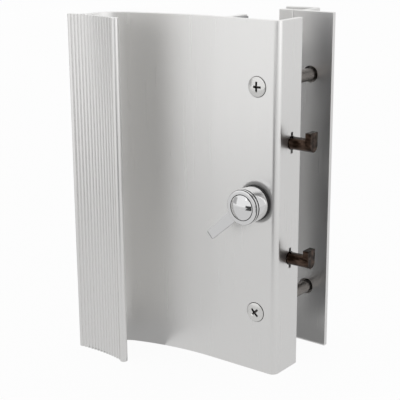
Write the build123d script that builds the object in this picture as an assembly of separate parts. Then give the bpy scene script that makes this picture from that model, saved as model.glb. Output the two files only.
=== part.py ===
from build123d import *
from math import asin, cos, degrees, radians, sin
import os

# Sliding patio door handle set: an extruded interior pull with a reeded grip strip, a lock
# mechanism with two hook bolts inside its channel, and an extruded exterior pull.
# Millimetres. X points to the lock edge of the door, Y from the room to the outside, Z up.
# The origin is on the exterior pull's seat face, midway between the two posts.

# Door and drilling pattern
stile_thickness = 27.6
screw_spacing = 114.3
bolt_spacing = 58.7
handle_height = 177.8

# Interior extrusion
wall = 2.4
channel_width = 32.0
channel_depth = 20.0
leg_depth = 16.6
edge_to_posts = 12.0
corner_radius = 3.5
inner_corner_radius = 1.0
flat_width = 40.0
wing_radius = 138.0
bend_radius = 15.0
web_set_back = 95.8

# Reeded grip strip of the interior extrusion
grip_stand_off = 30.0
grip_set_back = 93.5
grip_radius = 77.3
grip_reach_left = 12.5
grip_reach_right = 22.0
grip_thickness = 2.5
grip_fillet = 1.5
bead_radius = 1.9
groove_radius = 0.62
groove_pitch = 2.15
groove_margin = 1.6
groove_count = 14

# Exterior extrusion
pull_wall = 2.4
pull_base_width = 31.7
pull_edge = 12.4
pull_web_edge = -5.2
pull_depth = 19.4
pull_reach = 19.8
pull_slant = 11.0
pull_corner_radius = 3.0
pull_fillet = 2.0
pull_tip_radius = 0.8
mark_groove_x = -11.0
mark_groove_width = 0.7
post_hole_radius = 4.1

# Mounting screws and post nuts
screw_radius = 2.35
screw_hole_radius = 2.6
screw_head_radius = 4.9
screw_head_rise = 0.9
screw_top_radius = 3.4
screw_length = 25.0
recess_width = 1.1
recess_span = 5.2
recess_depth = 1.9
post_radius = 3.25
post_head_radius = 4.7
post_head_thickness = 1.5
post_reach = 8.0
post_bore_clearance = 0.05
post_bore_spare = 5.0

# Lock chassis, folded from sheet steel
sheet = 1.2
chassis_depth = 13.4
chassis_side_clearance = 0.1
chassis_end_gap = 0.8
chassis_bend_radius = 1.8
bearing_tab_x = -9.0
bearing_tab_width = 12.0
bearing_tab_rise = 5.0
bearing_tab_corner = 3.0

# Fits
running_clearance = 0.05
slot_clearance = 0.3
running_gap = 0.4
same_corner = 0.01

# Hook bolts
bolt_depth = 12.5
bolt_radius = 3.175
bolt_projection = 12.5
hook_thickness = 3.0
hook_rise = 3.2
hook_corner = 0.6
side_hole_radius = 3.55
journal_radius = 2.4
bolt_square = 3.2
cross_pin_radius = 0.75
cross_pin_length = 10.0
notch_width = 1.9
notch_span = 10.6

# Cranks and slide bar
crank_throw = 3.2
crank_radius = 5.0
crank_thickness = 2.0
crank_pin_radius = 1.0
crank_pin_proud = 0.4
crank_turn = 90.0
square_clearance = 0.03
bar_thickness = 1.5
bar_width = 8.4
bar_end_margin = 6.5
ear_width = 9.0
ear_margin = 2.2
ear_relief = 2.0

# Guide rivets of the slide bar
rivet_height = 16.0
rivet_radius = 1.5
rivet_slot_clearance = 0.1
rivet_shoulder_radius = 2.6
rivet_shank_radius = 1.2
rivet_head_radius = 2.8
rivet_head_thickness = 1.0
rivet_play = 0.15

# Thumbturn
spindle_offset = -0.7
gasket_thickness = 0.9
gasket_radius = 8.9
collar_radius = 8.7
collar_length = 8.3
collar_neck_radius = 5.5
collar_nut_thickness = 2.4
collar_nut_flats = 14.0
collar_lip = 0.2
collar_edge = 0.5
neck_clearance = 0.1
knob_gap = 0.3
knob_thickness = 2.1
knob_floor = 1.0
knob_edge = 0.4
lever_reach = 26.7
lever_angle = 42.0
lever_root_width = 6.4
lever_tip_width = 4.6
lever_tip_radius = 0.9
lever_thickness = 1.55
cap_radius = 6.35
cap_rise = 1.5
cap_clearance = 0.1
spindle_radius = 3.0
spindle_square = 4.0

# Places worked out from the sizes above
front_y = -(stile_thickness + channel_depth)
plate_back_y = front_y + wall
edge_x = edge_to_posts
side_inner_x = edge_x - wall
leg_x = edge_x - channel_width
wing_x = edge_x - flat_width
web_x = edge_x - web_set_back
grip_x = edge_x - grip_set_back
screw_z = screw_spacing / 2
bolt_z = bolt_spacing / 2
bolt_y = front_y + bolt_depth
bolt_tip_x = edge_x + bolt_projection
chassis_left_x = leg_x + wall + chassis_side_clearance
chassis_right_x = side_inner_x - chassis_side_clearance
chassis_web_y = plate_back_y + sheet
chassis_back_y = plate_back_y + chassis_depth
tab_left_x = bearing_tab_x - sheet
crank_right_x = tab_left_x - running_gap
crank_left_x = crank_right_x - crank_thickness
bar_right_x = crank_left_x - running_gap
bar_left_x = bar_right_x - bar_thickness
half_turn = radians(crank_turn / 2)
bar_lift = crank_throw * sin(half_turn)
throw_span = crank_throw * (1 - cos(half_turn))
throw_middle = crank_throw - throw_span / 2
bar_y = bolt_y - throw_middle
neck_end_y = chassis_web_y + collar_nut_thickness + collar_lip
drive_front_y = neck_end_y + knob_gap
drive_back_y = drive_front_y + crank_thickness
ear_front_y = drive_back_y + running_gap
ear_back_y = ear_front_y + bar_thickness
collar_back_y = front_y - gasket_thickness
collar_front_y = collar_back_y - collar_length
knob_back_y = collar_front_y - knob_gap
knob_front_y = knob_back_y - knob_thickness
floor_y = knob_back_y - knob_floor


# A plane seen from the room, with X to the right and Z up, and a plate drawn on it
def front_slab(sketch, y_start, y_end):
    plane = Plane(origin=(0, y_end, 0), x_dir=(1, 0, 0), z_dir=(0, -1, 0))
    return extrude(plane * sketch, amount=y_end - y_start)


# A plate drawn in Y and Z and given a thickness along X
def side_slab(sketch, x_start, x_end):
    plane = Plane(origin=(x_start, 0, 0), x_dir=(0, 1, 0), z_dir=(1, 0, 0))
    return extrude(plane * sketch, amount=x_end - x_start)


def front_disc(x, z, radius, y_start, y_end):
    return front_slab(Pos(x, z) * Circle(radius), y_start, y_end)


def side_disc(y, z, radius, x_start, x_end):
    return side_slab(Pos(y, z) * Circle(radius), x_start, x_end)


def box_between(x_start, x_end, y_start, y_end):
    return Pos((x_start + x_end) / 2, (y_start + y_end) / 2) * Rectangle(x_end - x_start, y_end - y_start)


def polar(centre, radius, angle):
    return (centre[0] + radius * cos(radians(angle)), centre[1] + radius * sin(radians(angle)))


# Part of a flat ring: the section of a curved extrusion wall
def arc_band(centre, inner, outer, start, end):
    return make_face([
        CenterArc(centre, inner, start, end - start),
        Line(polar(centre, inner, end), polar(centre, outer, end)),
        CenterArc(centre, outer, start, end - start),
        Line(polar(centre, outer, start), polar(centre, inner, start)),
    ])


def corners_at(section, *points):
    return [v for v in section.vertices() if any(abs(v.X - x) + abs(v.Y - y) < same_corner for x, y in points)]


# Grip strip: a band that is hollow towards the room, reeded, with a round bead on its right edge
def grip_section():
    centre = (grip_x, front_y - grip_stand_off - grip_radius)
    middle = grip_radius + grip_thickness / 2
    start = 90 - degrees(asin((grip_reach_right - bead_radius) / middle))
    end = 90 + degrees(asin((grip_reach_left - grip_thickness / 2) / middle))
    section = arc_band(centre, grip_radius, grip_radius + grip_thickness, start, end)
    section += Pos(*polar(centre, middle, start)) * Circle(bead_radius)
    section += Pos(*polar(centre, middle, end)) * Circle(grip_thickness / 2)
    for index in range(groove_count):
        angle = end - degrees((groove_margin + index * groove_pitch) / grip_radius)
        section -= Pos(*polar(centre, grip_radius, angle)) * Circle(groove_radius)
    return section


# Wing: sweeps from the flat plate towards the room, bends round and stands up as the grip's web
def wing_section():
    sweep_sine = (wing_x - bend_radius - web_x) / (wing_radius - bend_radius)
    wing_end = 90 + degrees(asin(sweep_sine))
    wing_centre = (wing_x, front_y - wing_radius)
    bend_centre = polar(wing_centre, wing_radius - bend_radius, wing_end)
    section = arc_band(wing_centre, wing_radius, wing_radius + wall, 90, wing_end)
    section += arc_band(bend_centre, bend_radius, bend_radius + wall, wing_end, 180)
    web_top_y = front_y - grip_stand_off + grip_thickness / 2
    section += box_between(web_x - wall, web_x, web_top_y, bend_centre[1])
    return section


def interior_section():
    section = box_between(wing_x, edge_x, front_y, plate_back_y)
    section += box_between(side_inner_x, edge_x, front_y, -stile_thickness)
    section += box_between(leg_x, leg_x + wall, front_y, front_y + leg_depth)
    section = fillet(corners_at(section, (edge_x, front_y)), corner_radius)
    insides = [(side_inner_x, plate_back_y), (leg_x, plate_back_y), (leg_x + wall, plate_back_y)]
    section = fillet(corners_at(section, *insides), inner_corner_radius)
    section += wing_section() + grip_section()
    grip_centre_y = front_y - grip_stand_off - grip_radius
    back = grip_radius + grip_thickness
    roots = [(x, grip_centre_y + (back**2 - (x - grip_x)**2)**0.5) for x in (web_x - wall, web_x)]
    return fillet(corners_at(section, *roots), grip_fillet)


# Hole for a hook bolt, with a slot above and below that lets the bolt's cross pin through
def notched_hole(z, radius):
    return Pos(bolt_y, z) * (Circle(radius) + Rectangle(notch_width, notch_span))


def interior_handle():
    body = extrude(interior_section(), amount=handle_height / 2, both=True)
    for z in (-screw_z, screw_z):
        body -= screw_seat(z)
    body -= front_disc(spindle_offset, 0, collar_neck_radius + neck_clearance, front_y, plate_back_y)
    for z in (-bolt_z, bolt_z):
        body -= side_slab(notched_hole(z, side_hole_radius), side_inner_x, edge_x)
    return body


# Clearance hole with a countersink as deep as the head is wider than the hole
def screw_seat(z):
    through = front_disc(0, z, screw_hole_radius, front_y, plate_back_y)
    depth = screw_head_radius - screw_hole_radius
    cone = Cone(screw_hole_radius, screw_head_radius, depth, align=(Align.CENTER, Align.CENTER, Align.MAX))
    return through + Pos(0, front_y, z) * Rot(90, 0, 0) * cone


# Cross-headed screw with a raised countersunk head that stands a little proud of the plate
def mounting_screw(z, recess_angle):
    top_y = front_y - screw_head_rise
    cone_end_y = front_y + screw_head_radius - screw_radius
    tip_y = front_y + screw_length
    body = revolve(make_face(Polyline(
        (0, top_y), (screw_top_radius, top_y), (screw_head_radius, front_y),
        (screw_radius, cone_end_y), (screw_radius, tip_y), (0, tip_y), close=True
    )), Axis.Y)
    cross = Rectangle(recess_width, recess_span) + Rectangle(recess_span, recess_width)
    return Pos(0, 0, z) * (body - front_slab(Rot(0, 0, recess_angle) * cross, top_y, top_y + recess_depth))


# Long barrel nut that comes through the door from outside and takes the screw
def post_nut(z):
    post_end_y = front_y + post_reach
    body = front_disc(0, z, post_radius, post_end_y, pull_wall)
    body += front_disc(0, z, post_head_radius, pull_wall, pull_wall + post_head_thickness)
    bore_end_y = front_y + screw_length + post_bore_spare
    body -= front_disc(0, z, screw_radius + post_bore_clearance, post_end_y, bore_end_y)
    return body


# Flat base with a web and a slanted lip that hooks back over the fingers
def exterior_section():
    slant = radians(pull_slant)
    web_left_x = pull_web_edge - pull_wall
    tip = (pull_web_edge - pull_reach * cos(slant), pull_depth - pull_reach * sin(slant))
    tip_inside = (tip[0] + pull_wall * sin(slant), tip[1] - pull_wall * cos(slant))
    corner = (pull_web_edge, pull_depth)
    corner_inside = (web_left_x, pull_depth - pull_wall * (1 + sin(slant)) / cos(slant))
    section = make_face(Polyline(
        (pull_web_edge, 0), corner, tip, tip_inside, corner_inside, (web_left_x, 0), close=True
    ))
    section = fillet(corners_at(section, corner), pull_corner_radius)
    section = fillet(corners_at(section, tip, tip_inside), pull_tip_radius)
    section += box_between(pull_edge - pull_base_width, pull_edge, 0, pull_wall)
    section = fillet(corners_at(section, corner_inside, (web_left_x, pull_wall)), pull_fillet)
    mark = Rot(0, 0, 45) * Rectangle(mark_groove_width, mark_groove_width)
    return section - Pos(mark_groove_x, 0) * mark


def exterior_pull():
    body = extrude(exterior_section(), amount=handle_height / 2, both=True)
    for z in (-screw_z, screw_z):
        body -= front_disc(0, z, post_hole_radius, 0, pull_wall)
    return body


def chassis_section():
    section = box_between(chassis_left_x, chassis_right_x, plate_back_y, chassis_back_y)
    outside = [(chassis_left_x, plate_back_y), (chassis_right_x, plate_back_y)]
    section = fillet(corners_at(section, *outside), chassis_bend_radius)
    hollow = box_between(chassis_left_x + sheet, chassis_right_x - sheet, chassis_web_y, chassis_back_y)
    inside = [(chassis_left_x + sheet, chassis_web_y), (chassis_right_x - sheet, chassis_web_y)]
    return section - fillet(corners_at(hollow, *inside), chassis_bend_radius - sheet)


# Tab cut out of the chassis web and turned up to carry a bolt's inner end
def bearing_tab(z):
    tab_end_y = bolt_y + bearing_tab_rise
    tab = Pos((plate_back_y + tab_end_y) / 2, z) * Rectangle(tab_end_y - plate_back_y, bearing_tab_width)
    edge_z = bearing_tab_width / 2
    tab = fillet(corners_at(tab, (tab_end_y, z - edge_z), (tab_end_y, z + edge_z)), bearing_tab_corner)
    tab -= Pos(bolt_y, z) * Circle(journal_radius + running_clearance)
    return side_slab(tab, tab_left_x, bearing_tab_x)


def lock_chassis():
    body = extrude(chassis_section(), amount=handle_height / 2 - chassis_end_gap, both=True)
    window_width = bolt_y + bearing_tab_rise - chassis_web_y
    for z in (-bolt_z, bolt_z):
        window = Pos(bearing_tab_x + window_width / 2, z) * Rectangle(window_width, bearing_tab_width)
        body -= front_slab(window, plate_back_y, chassis_web_y)
        body += bearing_tab(z)
        hole = notched_hole(z, bolt_radius + running_clearance)
        body -= side_slab(hole, chassis_right_x - sheet, chassis_right_x)
    for z in (-screw_z, screw_z):
        body -= front_disc(0, z, screw_hole_radius, plate_back_y, chassis_web_y)
    for z in (-rivet_height, rivet_height):
        body -= side_disc(bar_y, z, rivet_shank_radius, chassis_left_x, chassis_left_x + sheet)
    neck_hole = collar_neck_radius + neck_clearance
    return body - front_disc(spindle_offset, 0, neck_hole, plate_back_y, chassis_web_y)


def square_prism_x(z, side, x_start, x_end):
    return side_slab(Pos(bolt_y, z) * Rectangle(side, side), x_start, x_end)


# Turned bolt with a hook lug on its tip, a journal at its inner end and a square for its crank
def hook_bolt(z):
    body = side_disc(bolt_y, z, bolt_radius, bearing_tab_x + running_clearance, bolt_tip_x)
    lug_height = bolt_radius + hook_rise
    lug = Pos(bolt_y, z + lug_height / 2) * Rectangle(2 * bolt_radius, lug_height)
    tops = [(bolt_y - bolt_radius, z + lug_height), (bolt_y + bolt_radius, z + lug_height)]
    lug = fillet(corners_at(lug, *tops), hook_corner)
    body += side_slab(lug, bolt_tip_x - hook_thickness, bolt_tip_x)
    body += side_disc(bolt_y, z, journal_radius, crank_right_x, bearing_tab_x + running_clearance)
    body += square_prism_x(z, bolt_square, crank_left_x, crank_right_x)
    return body - pin_rod(z, cross_pin_radius + square_clearance)


# Cross pin's rod, halfway between upright and level, just inside the chassis wall
def pin_rod(z, radius):
    pin_x = chassis_right_x - sheet - running_gap - cross_pin_radius
    rod = Rot(crank_turn / 2, 0, 0) * Cylinder(radius, cross_pin_length)
    return Pos(pin_x, bolt_y, z) * rod


def cross_pin(z):
    return pin_rod(z, cross_pin_radius)


# Crank on a bolt: its pin starts above the level that points to the room
def bolt_crank(z):
    pin_y = bolt_y - crank_throw * cos(half_turn)
    pin_z = z + crank_throw * sin(half_turn)
    body = side_disc(bolt_y, z, crank_radius, crank_left_x, crank_right_x)
    body -= square_prism_x(z, bolt_square + 2 * square_clearance, crank_left_x, crank_right_x)
    return body + side_disc(pin_y, pin_z, crank_pin_radius, bar_left_x - crank_pin_proud, crank_left_x)


# Crank on the spindle: its pin works in the slide bar's ear
def drive_crank():
    pin_x = spindle_offset + crank_throw * cos(half_turn)
    hole = spindle_square + 2 * square_clearance
    body = front_disc(spindle_offset, 0, crank_radius, drive_front_y, drive_back_y)
    body -= front_slab(Pos(spindle_offset, 0) * Rectangle(hole, hole), drive_front_y, drive_back_y)
    return body + front_disc(pin_x, bar_lift, crank_pin_radius, drive_back_y, ear_back_y + crank_pin_proud)


# Slide bar: a steel strip along the channel with an ear turned over the spindle's crank
def slide_bar():
    middle_z = bar_lift
    length = bolt_spacing + 2 * (crank_throw + bar_end_margin)
    strip = Pos(bar_y, middle_z) * Rectangle(bar_width, length)
    relief_width = bar_y + bar_width / 2 - ear_back_y
    relief = Pos(ear_back_y + relief_width / 2, middle_z)
    strip -= relief * Rectangle(relief_width, ear_width + 2 * ear_relief)
    pin_slot_width = 2 * (crank_pin_radius + slot_clearance)
    for z in (-bolt_z, bolt_z):
        strip -= Pos(bar_y, middle_z + z) * SlotCenterToCenter(throw_span, pin_slot_width)
    guide_slot = SlotCenterToCenter(2 * bar_lift, 2 * (rivet_radius + rivet_slot_clearance), rotation=90)
    for z in (-rivet_height, rivet_height):
        strip -= Pos(bar_y, middle_z + z) * guide_slot
    body = side_slab(strip, bar_left_x, bar_right_x)
    ear_end_x = spindle_offset + crank_throw + crank_pin_radius + slot_clearance + ear_margin
    ear = box_between(bar_left_x, ear_end_x, middle_z - ear_width / 2, middle_z + ear_width / 2)
    ear -= Pos(spindle_offset + throw_middle, middle_z) * SlotCenterToCenter(throw_span, pin_slot_width)
    return body + front_slab(ear, ear_front_y, ear_back_y)


# Shoulder rivet that holds the slide bar to the chassis and lets it run up and down
def guide_rivet(z):
    flange_x = chassis_left_x + sheet
    neck_start_x = bar_left_x - rivet_play
    neck_end_x = bar_right_x + rivet_play
    body = side_disc(bar_y, z, rivet_shank_radius, chassis_left_x, flange_x)
    body += side_disc(bar_y, z, rivet_shoulder_radius, flange_x, neck_start_x)
    body += side_disc(bar_y, z, rivet_radius, neck_start_x, neck_end_x)
    return body + side_disc(bar_y, z, rivet_head_radius, neck_end_x, neck_end_x + rivet_head_thickness)


def thumbturn_gasket():
    ring = front_disc(spindle_offset, 0, gasket_radius, collar_back_y, front_y)
    return ring - front_disc(spindle_offset, 0, collar_neck_radius + neck_clearance, collar_back_y, front_y)


# Fixed collar: the barrel of the knob, with a neck through plate and chassis
def thumbturn_collar():
    body = front_disc(spindle_offset, 0, collar_radius, collar_front_y, collar_back_y)
    body = chamfer(body.faces().sort_by(Axis.Y)[-1].edges(), collar_edge)
    body += front_disc(spindle_offset, 0, collar_neck_radius, collar_back_y, neck_end_y)
    bore = spindle_radius + running_clearance
    return body - front_disc(spindle_offset, 0, bore, collar_front_y, neck_end_y)


def collar_nut():
    side_radius = collar_nut_flats / 2
    nut = RegularPolygon(side_radius, 6, major_radius=False) - Circle(collar_neck_radius + running_clearance)
    return front_slab(Pos(spindle_offset, 0) * nut, chassis_web_y, chassis_web_y + collar_nut_thickness)


# Lever: a tapered paddle and the knob's front ring in one casting
def thumbturn_lever():
    half_root = lever_root_width / 2
    half_tip = lever_tip_width / 2
    paddle = make_face(Polyline(
        (0, half_root), (lever_reach, half_tip), (lever_reach, -half_tip), (0, -half_root), close=True
    ))
    tips = [(lever_reach, half_tip), (lever_reach, -half_tip)]
    paddle = Rot(0, 0, 180 + lever_angle) * fillet(corners_at(paddle, *tips), lever_tip_radius)
    body = front_disc(spindle_offset, 0, collar_radius, knob_front_y, knob_back_y)
    body = chamfer(body.faces().sort_by(Axis.Y)[0].edges(), knob_edge)
    body += front_slab(Pos(spindle_offset, 0) * paddle, knob_back_y - lever_thickness, knob_back_y)
    body -= front_disc(spindle_offset, 0, cap_radius + cap_clearance, knob_front_y, floor_y)
    hole = spindle_square + 2 * square_clearance
    return body - front_slab(Pos(spindle_offset, 0) * Rectangle(hole, hole), floor_y, knob_back_y)


# Domed cap that covers the spindle's end: a shallow part of a sphere on a short drum
def thumbturn_cap():
    top_y = knob_front_y - cap_rise
    dome_radius = (cap_radius**2 + cap_rise**2) / (2 * cap_rise)
    half_angle = asin(cap_radius / dome_radius) / 2
    halfway = (dome_radius * sin(half_angle), top_y + dome_radius * (1 - cos(half_angle)))
    section = make_face([
        ThreePointArc((0, top_y), halfway, (cap_radius, knob_front_y)),
        Line((cap_radius, knob_front_y), (cap_radius, floor_y)),
        Line((cap_radius, floor_y), (0, floor_y)),
        Line((0, floor_y), (0, top_y)),
    ])
    return Pos(spindle_offset, 0, 0) * revolve(section, Axis.Y)


def thumbturn_spindle():
    square = Pos(spindle_offset, 0) * Rectangle(spindle_square, spindle_square)
    body = front_disc(spindle_offset, 0, spindle_radius, knob_back_y, drive_front_y)
    return body + front_slab(square, floor_y, knob_back_y) + front_slab(square, drive_front_y, drive_back_y)


def write_part(name, solid):
    solid.label = name
    export_step(solid, f"parts/{name}.step")


os.makedirs("parts", exist_ok=True)
write_part("interior_handle", interior_handle())
write_part("exterior_pull", exterior_pull())
write_part("lock_chassis", lock_chassis())
write_part("slide_bar", slide_bar())
write_part("drive_crank", drive_crank())
write_part("thumbturn_gasket", thumbturn_gasket())
write_part("thumbturn_collar", thumbturn_collar())
write_part("collar_nut", collar_nut())
write_part("thumbturn_lever", thumbturn_lever())
write_part("thumbturn_cap", thumbturn_cap())
write_part("thumbturn_spindle", thumbturn_spindle())
for place, side, recess_angle in (("upper", 1, 0), ("lower", -1, 45)):
    write_part(f"mounting_screw_{place}", mounting_screw(side * screw_z, recess_angle))
    write_part(f"post_nut_{place}", post_nut(side * screw_z))
    write_part(f"hook_bolt_{place}", hook_bolt(side * bolt_z))
    write_part(f"cross_pin_{place}", cross_pin(side * bolt_z))
    write_part(f"bolt_crank_{place}", bolt_crank(side * bolt_z))
    write_part(f"guide_rivet_{place}", guide_rivet(side * rivet_height))
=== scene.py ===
import math

import bpy
from mathutils import Matrix, Vector


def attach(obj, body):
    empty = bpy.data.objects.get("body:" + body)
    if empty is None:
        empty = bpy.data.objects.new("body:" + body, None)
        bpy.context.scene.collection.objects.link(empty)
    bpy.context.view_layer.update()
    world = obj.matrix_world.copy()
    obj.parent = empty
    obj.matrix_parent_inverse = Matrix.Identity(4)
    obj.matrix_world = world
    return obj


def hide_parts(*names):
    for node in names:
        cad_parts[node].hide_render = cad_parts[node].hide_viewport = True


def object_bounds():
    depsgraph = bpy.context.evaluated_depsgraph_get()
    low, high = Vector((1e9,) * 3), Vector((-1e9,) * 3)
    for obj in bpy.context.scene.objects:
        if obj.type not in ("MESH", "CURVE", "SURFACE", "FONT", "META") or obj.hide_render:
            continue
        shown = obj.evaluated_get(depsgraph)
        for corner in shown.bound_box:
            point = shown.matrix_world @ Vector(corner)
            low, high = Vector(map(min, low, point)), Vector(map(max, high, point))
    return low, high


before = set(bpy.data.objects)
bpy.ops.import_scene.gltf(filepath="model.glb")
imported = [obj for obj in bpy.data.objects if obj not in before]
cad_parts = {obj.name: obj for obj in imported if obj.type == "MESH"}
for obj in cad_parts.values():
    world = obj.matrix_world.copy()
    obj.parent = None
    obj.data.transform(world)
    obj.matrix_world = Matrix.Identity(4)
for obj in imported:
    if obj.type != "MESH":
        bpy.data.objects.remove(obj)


def boxNumbers():
    low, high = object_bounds()
    return [list(low), list(high)]


cadBox = boxNumbers()
mm = 0.001
past = 1.0  # how far a cutting tool reaches past the piece, in millimetres

# sizes that several pieces share, in millimetres; the origin is on the exterior pull's seat,
# midway between the posts, with X towards the lock edge, Y from the room to the outside and Z up
handleSet = {
    "height": 177.8,
    "stileThickness": 27.6,
    "channelDepth": 20.0,
    "edgeToPosts": 12.0,
    "screwSpacing": 114.3,
    "boltSpacing": 58.7,
    "boltDepth": 12.5,
    "thumbturnOffset": -0.7,
    "endChamfer": 0.2,
}
frontY = -(handleSet["stileThickness"] + handleSet["channelDepth"])
edgeX = handleSet["edgeToPosts"]
halfHeight = handleSet["height"] / 2
screwZ = handleSet["screwSpacing"] / 2
boltZ = handleSet["boltSpacing"] / 2
boltY = frontY + handleSet["boltDepth"]
knobX = handleSet["thumbturnOffset"]


# selecting and editing

def showOnly(piece):
    bpy.ops.object.select_all(action="DESELECT")
    piece.select_set(True)
    bpy.context.view_layer.objects.active = piece


def openPiece(piece, kind="VERT", action="DESELECT"):
    showOnly(piece)
    bpy.ops.object.mode_set(mode="EDIT")
    bpy.ops.mesh.select_mode(type=kind)
    bpy.ops.mesh.select_all(action=action)


def closePiece():
    bpy.ops.object.mode_set(mode="OBJECT")


# the test gets a point in millimetres, and an edge or a face is picked when all its points pass
def pick(piece, test, kind="VERT"):
    openPiece(piece, kind)
    closePiece()
    data = piece.data
    passed = [test(vertex.co / mm) for vertex in data.vertices]
    if kind == "VERT":
        for vertex, good in zip(data.vertices, passed):
            vertex.select = good
    for part in {"EDGE": data.edges, "FACE": data.polygons}.get(kind, []):
        part.select = all(passed[index] for index in part.vertices)
    bpy.ops.object.mode_set(mode="EDIT")


def near(value, target, room=0.02):
    return abs(value - target) < room


def settle(piece):
    showOnly(piece)
    bpy.ops.object.transform_apply(location=True, rotation=True, scale=True)
    return piece


def mended(piece):
    openPiece(piece, action="SELECT")
    bpy.ops.mesh.remove_doubles(threshold=0.002 * mm)
    bpy.ops.mesh.normals_make_consistent(inside=False)
    closePiece()
    return piece


# starts that every piece is shaped from

def addBlock(name, low, high):
    bpy.ops.object.select_all(action="DESELECT")
    bpy.ops.mesh.primitive_cube_add(size=1, location=[(a + b) / 2 * mm for a, b in zip(low, high)])
    piece = bpy.context.object
    piece.name = name
    piece.scale = [(b - a) * mm for a, b in zip(low, high)]
    return settle(piece)


def addBar(name, start, end, radius, segments=64):
    bpy.ops.object.select_all(action="DESELECT")
    start, end = Vector(start) * mm, Vector(end) * mm
    bpy.ops.mesh.primitive_cylinder_add(
        vertices=segments, radius=radius * mm, depth=(end - start).length,
        location=(start + end) / 2, rotation=(end - start).to_track_quat("Z", "Y").to_euler(),
    )
    bpy.context.object.name = name
    return settle(bpy.context.object)


# a length of wall seen from above, which extrude lengthens and spin bends before it is raised
def startWall(name, low, high):
    bpy.ops.object.select_all(action="DESELECT")
    z = -halfHeight + handleSet["endChamfer"]
    middle = [(a + b) / 2 * mm for a, b in zip(low, high)] + [z * mm]
    bpy.ops.mesh.primitive_plane_add(size=1, location=middle)
    piece = bpy.context.object
    piece.name = name
    piece.scale = ((high[0] - low[0]) * mm, (high[1] - low[1]) * mm, 1)
    return settle(piece)


# spin counts turns the other way round
def bendWall(centre, angle, steps):
    middle = (centre[0] * mm, centre[1] * mm, 0)
    bpy.ops.mesh.spin(steps=steps, angle=-math.radians(angle), center=middle, axis=(0, 0, 1))


def extrudeBy(x, y):
    bpy.ops.mesh.extrude_region_move(TRANSFORM_OT_translate={"value": (x * mm, y * mm, 0)})


def moveBy(x, y):
    bpy.ops.transform.translate(value=(x * mm, y * mm, 0))


# the wall is raised to the full height less the chamfers that break the saw cuts at both ends
def liftWall(piece):
    height = 2 * (halfHeight - handleSet["endChamfer"])
    openPiece(piece, "FACE", "SELECT")
    bpy.ops.mesh.extrude_region_move(TRANSFORM_OT_translate={"value": (0, 0, height * mm)})
    closePiece()
    return mended(piece)


def chamferEnds(piece):
    chamfer = handleSet["endChamfer"]
    for side in (-1, 1):
        pick(piece, lambda point: near(point.z, side * (halfHeight - chamfer)), "FACE")
        bpy.ops.mesh.inset(thickness=chamfer * mm, depth=chamfer * mm)
        closePiece()
    return piece


def raiseWall(piece):
    return chamferEnds(liftWall(piece))


# a turned piece: a tiny plane becomes one point, which is drawn out along the outline of radius and
# place along Y and then spun round the axis
def turnPiece(name, x, z, outline, segments=64):
    bpy.ops.object.select_all(action="DESELECT")
    bpy.ops.mesh.primitive_plane_add(size=0.002 * mm, location=(x * mm, 0, z * mm))
    piece = bpy.context.object
    piece.name = name
    settle(piece)
    openPiece(piece, action="SELECT")
    bpy.ops.mesh.merge(type="CENTER")
    moveBy(*outline[0])
    for (radius, y), (nextRadius, nextY) in zip(outline, outline[1:]):
        extrudeBy(nextRadius - radius, nextY - y)
    bpy.ops.mesh.select_all(action="SELECT")
    bpy.ops.mesh.spin(steps=segments, angle=2 * math.pi, center=(x * mm, 0, z * mm), axis=(0, 1, 0))
    closePiece()
    return mended(piece)


def polar(centre, radius, angle):
    turn = math.radians(angle)
    return (centre[0] + radius * math.cos(turn), centre[1] + radius * math.sin(turn))


def roundOver(centre, radius, start, end, steps):
    turns = [start + (end - start) * step / steps for step in range(steps + 1)]
    return [polar(centre, radius, turn) for turn in turns]


# joining, cutting and finishing

def combine(piece, other, operation):
    showOnly(piece)
    tool = piece.modifiers.new("combine", "BOOLEAN")
    tool.operation = operation
    tool.solver = "EXACT"
    tool.object = other
    bpy.ops.object.modifier_apply(modifier=tool.name)
    bpy.data.objects.remove(other)
    return piece


def cut(piece, *tools):
    bpy.ops.object.select_all(action="DESELECT")
    for tool in tools:
        tool.select_set(True)
    bpy.context.view_layer.objects.active = tools[0]
    if len(tools) > 1:
        bpy.ops.object.join()
    return combine(piece, tools[0], "DIFFERENCE")


def add(piece, other):
    return combine(piece, other, "UNION")


# flat faces that a union or a mesh of triangles has split become one again
def tidyFaces(piece, angle=0.05):
    openPiece(piece, "FACE", "SELECT")
    bpy.ops.mesh.dissolve_limited(angle_limit=math.radians(angle))
    closePiece()
    return piece


def roundPicked(radius, segments):
    bpy.ops.mesh.bevel(
        offset=radius * mm, segments=segments, profile=0.5, affect="EDGES", clamp_overlap=False
    )
    closePiece()


def roundUprights(piece, places, radius, segments):
    pick(piece, lambda point: any(near(point.x, x) and near(point.y, y) for x, y in places), "EDGE")
    roundPicked(radius, segments)
    return piece


def softenEdges(piece, width, segments=2, angle=35):
    showOnly(piece)
    tool = piece.modifiers.new("soften", "BEVEL")
    tool.width = width * mm
    tool.segments = segments
    tool.limit_method = "ANGLE"
    tool.angle_limit = math.radians(angle)
    tool.use_clamp_overlap = True
    bpy.ops.object.modifier_apply(modifier=tool.name)
    return piece


def finishPiece(piece, body, material, slot, *nodes, smoothAngle=32):
    showOnly(piece)
    bpy.ops.object.shade_smooth_by_angle(angle=math.radians(smoothAngle))
    piece.data.name = piece.name
    piece.data.materials.clear()
    piece.data.materials.append(material)
    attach(piece, body)
    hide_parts(*nodes)
    return piece


# interior pull: plate, side wall, leg, swept wing and reeded grip, one extrusion

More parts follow.
